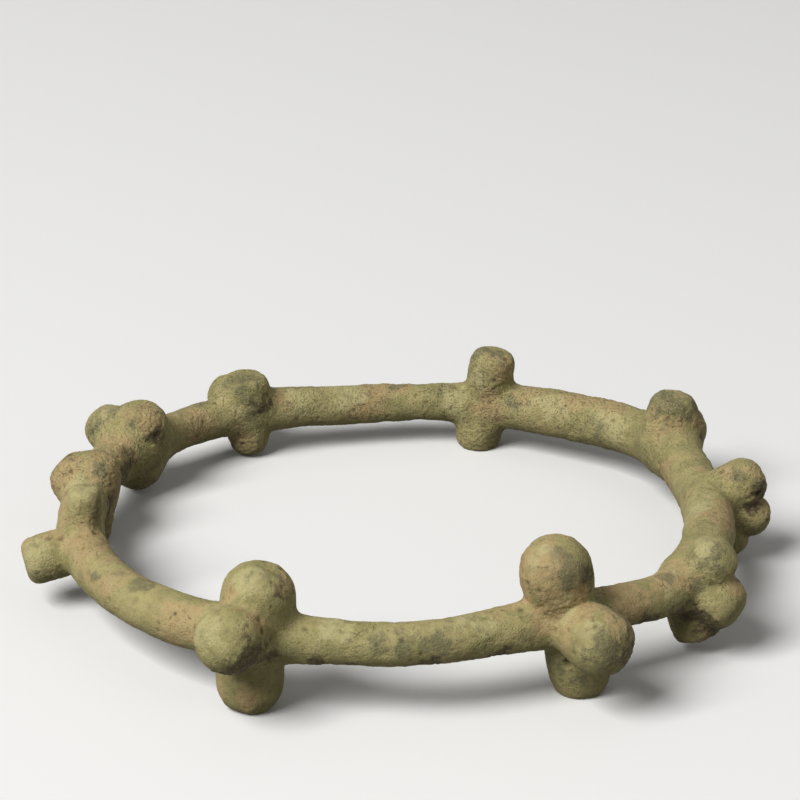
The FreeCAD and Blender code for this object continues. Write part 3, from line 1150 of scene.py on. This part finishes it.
def add_node(tree, kind, place, **values):
    """Add a shader node and set its sockets by name, with _ for a space."""
    node = tree.nodes.new(kind)
    node.location = place
    for name, value in values.items():
        node.inputs[name.replace("_", " ")].default_value = value
    return node


def add_noise(tree, coordinates, width, detail, place):
    """Add a noise texture whose swells are about width wide, and return its output."""
    noise = add_node(tree, "ShaderNodeTexNoise", place, Scale=1 / width, Detail=detail, Roughness=0.6)
    tree.links.new(coordinates, noise.inputs["Vector"])
    return noise.outputs["Fac"]


def add_range(tree, value, low, high, place):
    """Add a smooth step from low to high, and return its output."""
    step = add_node(tree, "ShaderNodeMapRange", place, From_Min=low, From_Max=high)
    step.interpolation_type = "SMOOTHSTEP"
    tree.links.new(value, step.inputs["Value"])
    return step.outputs["Result"]


def add_math(tree, operation, first, second, place):
    """Add an operation on two values, each a socket or a number, and return its output."""
    node = tree.nodes.new("ShaderNodeMath")
    node.operation = operation
    node.location = place
    for socket, value in zip(node.inputs, (first, second)):
        if isinstance(value, (int, float)):
            socket.default_value = value
        else:
            tree.links.new(value, socket)
    return node.outputs["Value"]


def add_mix(tree, mask, first, second, place):
    """Add a blend of two colours, each a socket or a colour, and return its output."""
    node = tree.nodes.new("ShaderNodeMix")
    node.data_type = "RGBA"
    node.location = place
    tree.links.new(mask, node.inputs["Factor"])
    for socket, value in zip((node.inputs[6], node.inputs[7]), (first, second)):
        if isinstance(value, bpy.types.NodeSocket):
            tree.links.new(value, socket)
        else:
            socket.default_value = value
    return node.outputs[2]


def add_stain(tree, name, place):
    """Read one of the strengths stored at the mesh's points."""
    node = tree.nodes.new("ShaderNodeAttribute")
    node.attribute_name = name
    node.location = place
    return node.outputs["Fac"]


def scene_patina(scene):
    """Return the patina material, making it the first time."""
    made = bpy.data.materials.get("bracelet_patina")
    return made or make_patina(scene)


def add_span(tree, value, low, high, place):
    """Spread a value of 0 to 1 evenly from low to high, and return its output."""
    span = add_node(tree, "ShaderNodeMapRange", place, To_Min=low, To_Max=high)
    tree.links.new(value, span.inputs["Value"])
    return span.outputs["Result"]


def add_seen(tree, place):
    """Say whether a ray comes from the camera, straight or off something glossy."""
    path = add_node(tree, "ShaderNodeLightPath", (place[0] - 200, place[1]))
    return add_math(tree, "MAXIMUM", path.outputs["Is Camera Ray"], path.outputs["Is Glossy Ray"], place)


def add_crackle(tree, where, wear, broad, place):
    """Draw hairline cracks between the cells of a Voronoi pattern, here and there."""
    x, y = place
    width = wear.crackle_width
    bent = add_node(tree, "ShaderNodeVectorMath", place)
    bent.operation = "MULTIPLY_ADD"
    bent.inputs[1].default_value = [width * CRACK_BEND_SHARE] * 3
    cells = add_node(tree, "ShaderNodeTexVoronoi", (x + 400, y), Scale=1 / width)
    cells.feature = "DISTANCE_TO_EDGE"
    wobble = add_node(tree, "ShaderNodeTexNoise", (x - 200, y), Scale=2 / width)
    tree.links.new(where, wobble.inputs["Vector"])
    tree.links.new(wobble.outputs["Color"], bent.inputs[0])
    tree.links.new(where, bent.inputs[2])
    tree.links.new(bent.outputs["Vector"], cells.inputs["Vector"])
    line = add_range(tree, cells.outputs["Distance"], *CRACK_LINE_SHARES, (x + 600, y))
    here = add_range(tree, broad, *CRACKED_STEP_SHARES, (x + 600, y - 200))
    return add_math(tree, "MULTIPLY", line, here, (x + 800, y))


def add_patterns(tree, where, wear):
    """Add the patterns that the tints follow: random grain, stains with ragged edges, and low places
    that take painted shade.
    """
    patterns = {
        "broad": add_noise(tree, where, wear.lump_width, 4, (-1800, 900)),
        "mottle": add_noise(tree, where, wear.ripple_width, 6, (-1800, 600)),
        "grit": add_noise(tree, where, wear.grit_spacing, 4, (-1800, 300)),
        "speck": add_noise(tree, where, wear.speck_width, 3, (-1800, 0)),
    }
    both = add_math(tree, "ADD", patterns["grit"], patterns["mottle"], (-1600, 300))
    edge = add_math(tree, "SUBTRACT", both, 1.0, (-1400, 300))
    edge = add_math(tree, "MULTIPLY", edge, EDGE_STRENGTH_SHARE, (-1200, 300))
    for row, name in enumerate(SPOT_SHARES):
        stain = add_stain(tree, name, (-1400, -300 * row))
        patterns[name] = add_math(tree, "ADD", stain, edge, (-1200, -300 * row))
    fine = add_math(tree, "SUBTRACT", patterns["speck"], 0.5, (-1400, -1200))
    # low: the relief less the finest specks; the patina lays painted shade where it is low
    relief = add_stain(tree, "relief", (-1400, -1400))
    patterns["low"] = add_math(tree, "SUBTRACT", relief, fine, (-1200, -1200))
    return patterns


def lay_tint(tree, under, mask, tint, place):
    """Lay a tint over the colour under it, as strongly as the mask says."""
    return add_mix(tree, mask, under, list(tint), place)


def lay_tints(tree, patterns, colours):
    """Blend khaki and olive, then lay the tints over them one by one."""
    greener = add_range(tree, patterns["broad"], *OLIVE_STEP_SHARES, (-900, 900))
    colour = add_mix(tree, greener, list(colours.khaki), list(colours.olive), (-500, 900))
    for row, (name, start, end, strength, tint) in enumerate(TINT_SHARES):
        height = 600 - 300 * row
        mask = add_range(tree, patterns[name], start, end, (-900, height))
        mask = add_math(tree, "MULTIPLY", mask, strength, (-700, height))
        colour = lay_tint(tree, colour, mask, getattr(colours, tint), (-500, height))
    return colour


def add_fine_masks(tree, patterns, strong, crack):
    """Work out where dust, dark pricks and dark hollows lie."""
    dust = add_range(tree, patterns["speck"], *DUST_STEP_SHARES, (-500, -1700))
    dust = add_math(tree, "MULTIPLY", dust, strong, (-300, -1700))
    pricks = add_range(tree, patterns["speck"], *PRICK_STEP_SHARES, (-500, -2000))
    pricks = add_math(tree, "MULTIPLY", pricks, strong, (-300, -2000))
    hollow = add_math(tree, "MAXIMUM", add_stain(tree, "pitted", (-700, -2300)), crack, (-500, -2300))
    hollow = add_math(tree, "MULTIPLY", hollow, HOLLOW_STRENGTH_SHARE, (-300, -2300))
    return dust, pricks, hollow


def add_bump(tree, patterns, strong, pricks, crack, wear):
    """Raise the finest grain and sink the pricks and cracks, most where the metal is grainy."""
    height = add_math(tree, "ADD", patterns["grit"], patterns["speck"], (0, -200))
    height = add_math(tree, "SUBTRACT", height, crack, (200, -200))
    height = add_math(tree, "SUBTRACT", height, pricks, (400, -200))
    bump = add_node(tree, "ShaderNodeBump", (600, -200), Distance=wear.speck_height)
    strength = add_math(tree, "ADD", strong, LEAST_BUMP_SHARE, (400, -400))
    tree.links.new(strength, bump.inputs["Strength"])
    tree.links.new(height, bump.inputs["Height"])
    return bump.outputs["Normal"]


def make_patina(scene):
    """Make the patina: khaki to olive, straw flakes, soil, tarnish and dark hollows, with painted light
    and shade in some spots and between grains.
    """
    colours = scene.bracelet_patina
    wear = scene.bracelet_wear
    material = bpy.data.materials.new("bracelet_patina")
    material.use_nodes = True
    tree = material.node_tree
    tree.nodes.clear()
    where = tree.nodes.new("ShaderNodeTexCoord").outputs["Object"]
    patterns = add_patterns(tree, where, wear)
    crack = add_crackle(tree, where, wear, patterns["broad"], (-1600, -1700))
    grainy = add_stain(tree, "grainy", (-900, -2000))
    strong = add_span(tree, grainy, *GRAINY_STRENGTH_SHARES, (-700, -2000))
    dust, pricks, hollow = add_fine_masks(tree, patterns, strong, crack)
    colour = lay_tints(tree, patterns, colours)
    colour = lay_tint(tree, colour, dust, colours.straw, (0, 600))
    colour = lay_tint(tree, colour, pricks, colours.umber, (200, 600))
    colour = lay_tint(tree, colour, hollow, colours.hollow, (400, 600))
    rough = add_span(tree, patterns["mottle"], *ROUGHNESS_SHARES, (600, 100))
    normal = add_bump(tree, patterns, strong, pricks, crack, wear)
    shader = add_node(tree, "ShaderNodeBsdfPrincipled", (900, 200), Specular_IOR_Level=0.3)
    tree.links.new(colour, shader.inputs["Base Color"])
    tree.links.new(rough, shader.inputs["Roughness"])
    tree.links.new(normal, shader.inputs["Normal"])
    output = add_node(tree, "ShaderNodeOutputMaterial", (1200, 200))
    tree.links.new(shader.outputs["BSDF"], output.inputs["Surface"])
    return material


def make_paper(studio):
    """Make the floor's material. Only the camera sees its full paleness."""
    material = bpy.data.materials.new("studio_paper")
    material.use_nodes = True
    tree = material.node_tree
    shader = tree.nodes["Principled BSDF"]
    shader.inputs["Roughness"].default_value = 0.9
    shader.inputs["Specular IOR Level"].default_value = 0.2
    dim = [part * studio.floor_bounce for part in studio.floor_colour[:3]] + [1.0]
    colour = add_mix(tree, add_seen(tree, (-500, 0)), dim, list(studio.floor_colour), (-300, 0))
    tree.links.new(colour, shader.inputs["Base Color"])
    return material


def make_floor(scene):
    """Make the floor, a flat grid of squares."""
    studio = scene.bracelet_studio
    count = FLOOR_SQUARES + 1
    across = np.linspace(-0.5, 0.5, count) * studio.floor_size
    x, y = np.meshgrid(across, across)
    points = np.stack([x.ravel(), y.ravel(), np.zeros(x.size)], axis=1)
    square = np.arange(FLOOR_SQUARES)
    first = square[:, None] * count + square[None, :]
    faces = np.stack([first, first + 1, first + count + 1, first + count], axis=-1).reshape(-1, 4)
    mesh = bpy.data.meshes.new("studio_floor")
    mesh.from_pydata(points.tolist(), [], faces.tolist())
    mesh.materials.append(make_paper(studio))
    floor = bpy.data.objects.new("studio_floor", mesh)
    scene.collection.objects.link(floor)


def make_lamp(scene, name, power, size, place):
    """Hang a square lamp that looks at the middle of the bracelet."""
    light = bpy.data.lights.new(name, "AREA")
    light.energy = power
    light.size = size
    lamp = bpy.data.objects.new(name, light)
    lamp.location = place
    lamp.rotation_euler = (-Vector(place)).to_track_quat("-Z", "Y").to_euler()
    scene.collection.objects.link(lamp)


def make_sky(scene):
    """Light the scene softly from all round. The camera sees the floor's colour there."""
    studio = scene.bracelet_studio
    world = bpy.data.worlds.new("studio_sky")
    world.use_nodes = True
    tree = world.node_tree
    tree.nodes.clear()
    light = add_node(tree, "ShaderNodeBackground", (0, 100), Strength=studio.sky_strength)
    seen = add_node(tree, "ShaderNodeBackground", (0, -100), Color=studio.floor_colour)
    mix = add_node(tree, "ShaderNodeMixShader", (200, 0))
    output = add_node(tree, "ShaderNodeOutputWorld", (400, 0))
    tree.links.new(add_seen(tree, (0, 300)), mix.inputs["Fac"])
    tree.links.new(light.outputs["Background"], mix.inputs[1])
    tree.links.new(seen.outputs["Background"], mix.inputs[2])
    tree.links.new(mix.outputs["Shader"], output.inputs["Surface"])
    scene.world = world


def make_camera(scene):
    """Stand the camera where the bracelet was seen from."""
    studio = scene.bracelet_studio
    data = bpy.data.cameras.new("studio_camera")
    data.lens = studio.camera_lens
    data.dof.use_dof = False
    camera = bpy.data.objects.new("studio_camera", data)
    turn = Matrix.Rotation(studio.camera_turn, 4, "Z")
    tilt = Matrix.Rotation(studio.camera_tilt, 4, "X")
    roll = Matrix.Rotation(studio.camera_roll, 4, "Z")
    camera.matrix_world = Matrix.Translation(studio.camera_place) @ turn @ tilt @ roll
    scene.collection.objects.link(camera)
    scene.camera = camera


class BRACELET_OT_stage(Operator):
    """Make the floor, the lights and the camera"""

    bl_idname = "bracelet.stage"
    bl_label = "Floor, lights and camera"

    def execute(self, context):
        scene = context.scene
        studio = scene.bracelet_studio
        make_camera(scene)
        make_floor(scene)
        make_sky(scene)
        make_lamp(scene, "studio_key", studio.key_power, studio.key_size, studio.key_place)
        make_lamp(scene, "studio_fill", studio.fill_power, studio.fill_size, studio.fill_place)
        scene.view_settings.view_transform = "Standard"
        return {"FINISHED"}


class BRACELET_OT_hoop(Operator):
    """Make the hoop, the closed ring of bar that carries the knobs"""

    bl_idname = "bracelet.hoop"
    bl_label = "Hoop"

    def execute(self, context):
        make_hoop(context.scene)
        return {"FINISHED"}


class BRACELET_OT_top_knobs(Operator):
    """Make the ten knobs on top of the hoop"""

    bl_idname = "bracelet.top_knobs"
    bl_label = "Top knobs"

    def execute(self, context):
        make_knobs(context.scene, "top")
        return {"FINISHED"}


class BRACELET_OT_outer_knobs(Operator):
    """Make the ten knobs on the outside of the hoop"""

    bl_idname = "bracelet.outer_knobs"
    bl_label = "Outer knobs"

    def execute(self, context):
        make_knobs(context.scene, "outer")
        return {"FINISHED"}


class BRACELET_OT_under_knobs(Operator):
    """Make the ten knobs under the hoop, some of which it stands on"""

    bl_idname = "bracelet.under_knobs"
    bl_label = "Under knobs"

    def execute(self, context):
        make_knobs(context.scene, "under")
        return {"FINISHED"}


class BRACELET_PT_panel(Panel):
    """Lists the pieces of the bracelet and their settings"""

    bl_idname = "BRACELET_PT_panel"
    bl_label = "Bracelet"
    bl_space_type = "VIEW_3D"
    bl_region_type = "UI"
    bl_category = "Bracelet"

    def draw(self, context):
        layout = self.layout
        for operator in operators:
            layout.operator(operator.bl_idname)
        for group in ("bracelet_form", "bracelet_wear", "bracelet_patina", "bracelet_studio"):
            settings = getattr(context.scene, group)
            box = layout.box()
            for name in settings.__annotations__:
                box.prop(settings, name)


groups = (BraceletForm, BraceletWear, BraceletPatina, BraceletStudio)
operators = (
    BRACELET_OT_stage,
    BRACELET_OT_hoop,
    BRACELET_OT_top_knobs,
    BRACELET_OT_outer_knobs,
    BRACELET_OT_under_knobs,
)


def register():
    for kind in groups + operators + (BRACELET_PT_panel,):
        bpy.utils.register_class(kind)
    bpy.types.Scene.bracelet_form = PointerProperty(type=BraceletForm)
    bpy.types.Scene.bracelet_wear = PointerProperty(type=BraceletWear)
    bpy.types.Scene.bracelet_patina = PointerProperty(type=BraceletPatina)
    bpy.types.Scene.bracelet_studio = PointerProperty(type=BraceletStudio)


def unregister():
    del bpy.types.Scene.bracelet_studio
    del bpy.types.Scene.bracelet_patina
    del bpy.types.Scene.bracelet_wear
    del bpy.types.Scene.bracelet_form
    for kind in reversed(groups + operators + (BRACELET_PT_panel,)):
        bpy.utils.unregister_class(kind)


def main():
    """Make the whole bracelet and its studio."""
    register()
    bpy.ops.bracelet.stage()
    bpy.ops.bracelet.hoop()
    bpy.ops.bracelet.top_knobs()
    bpy.ops.bracelet.outer_knobs()
    bpy.ops.bracelet.under_knobs()


if __name__ == "__main__":
    main()
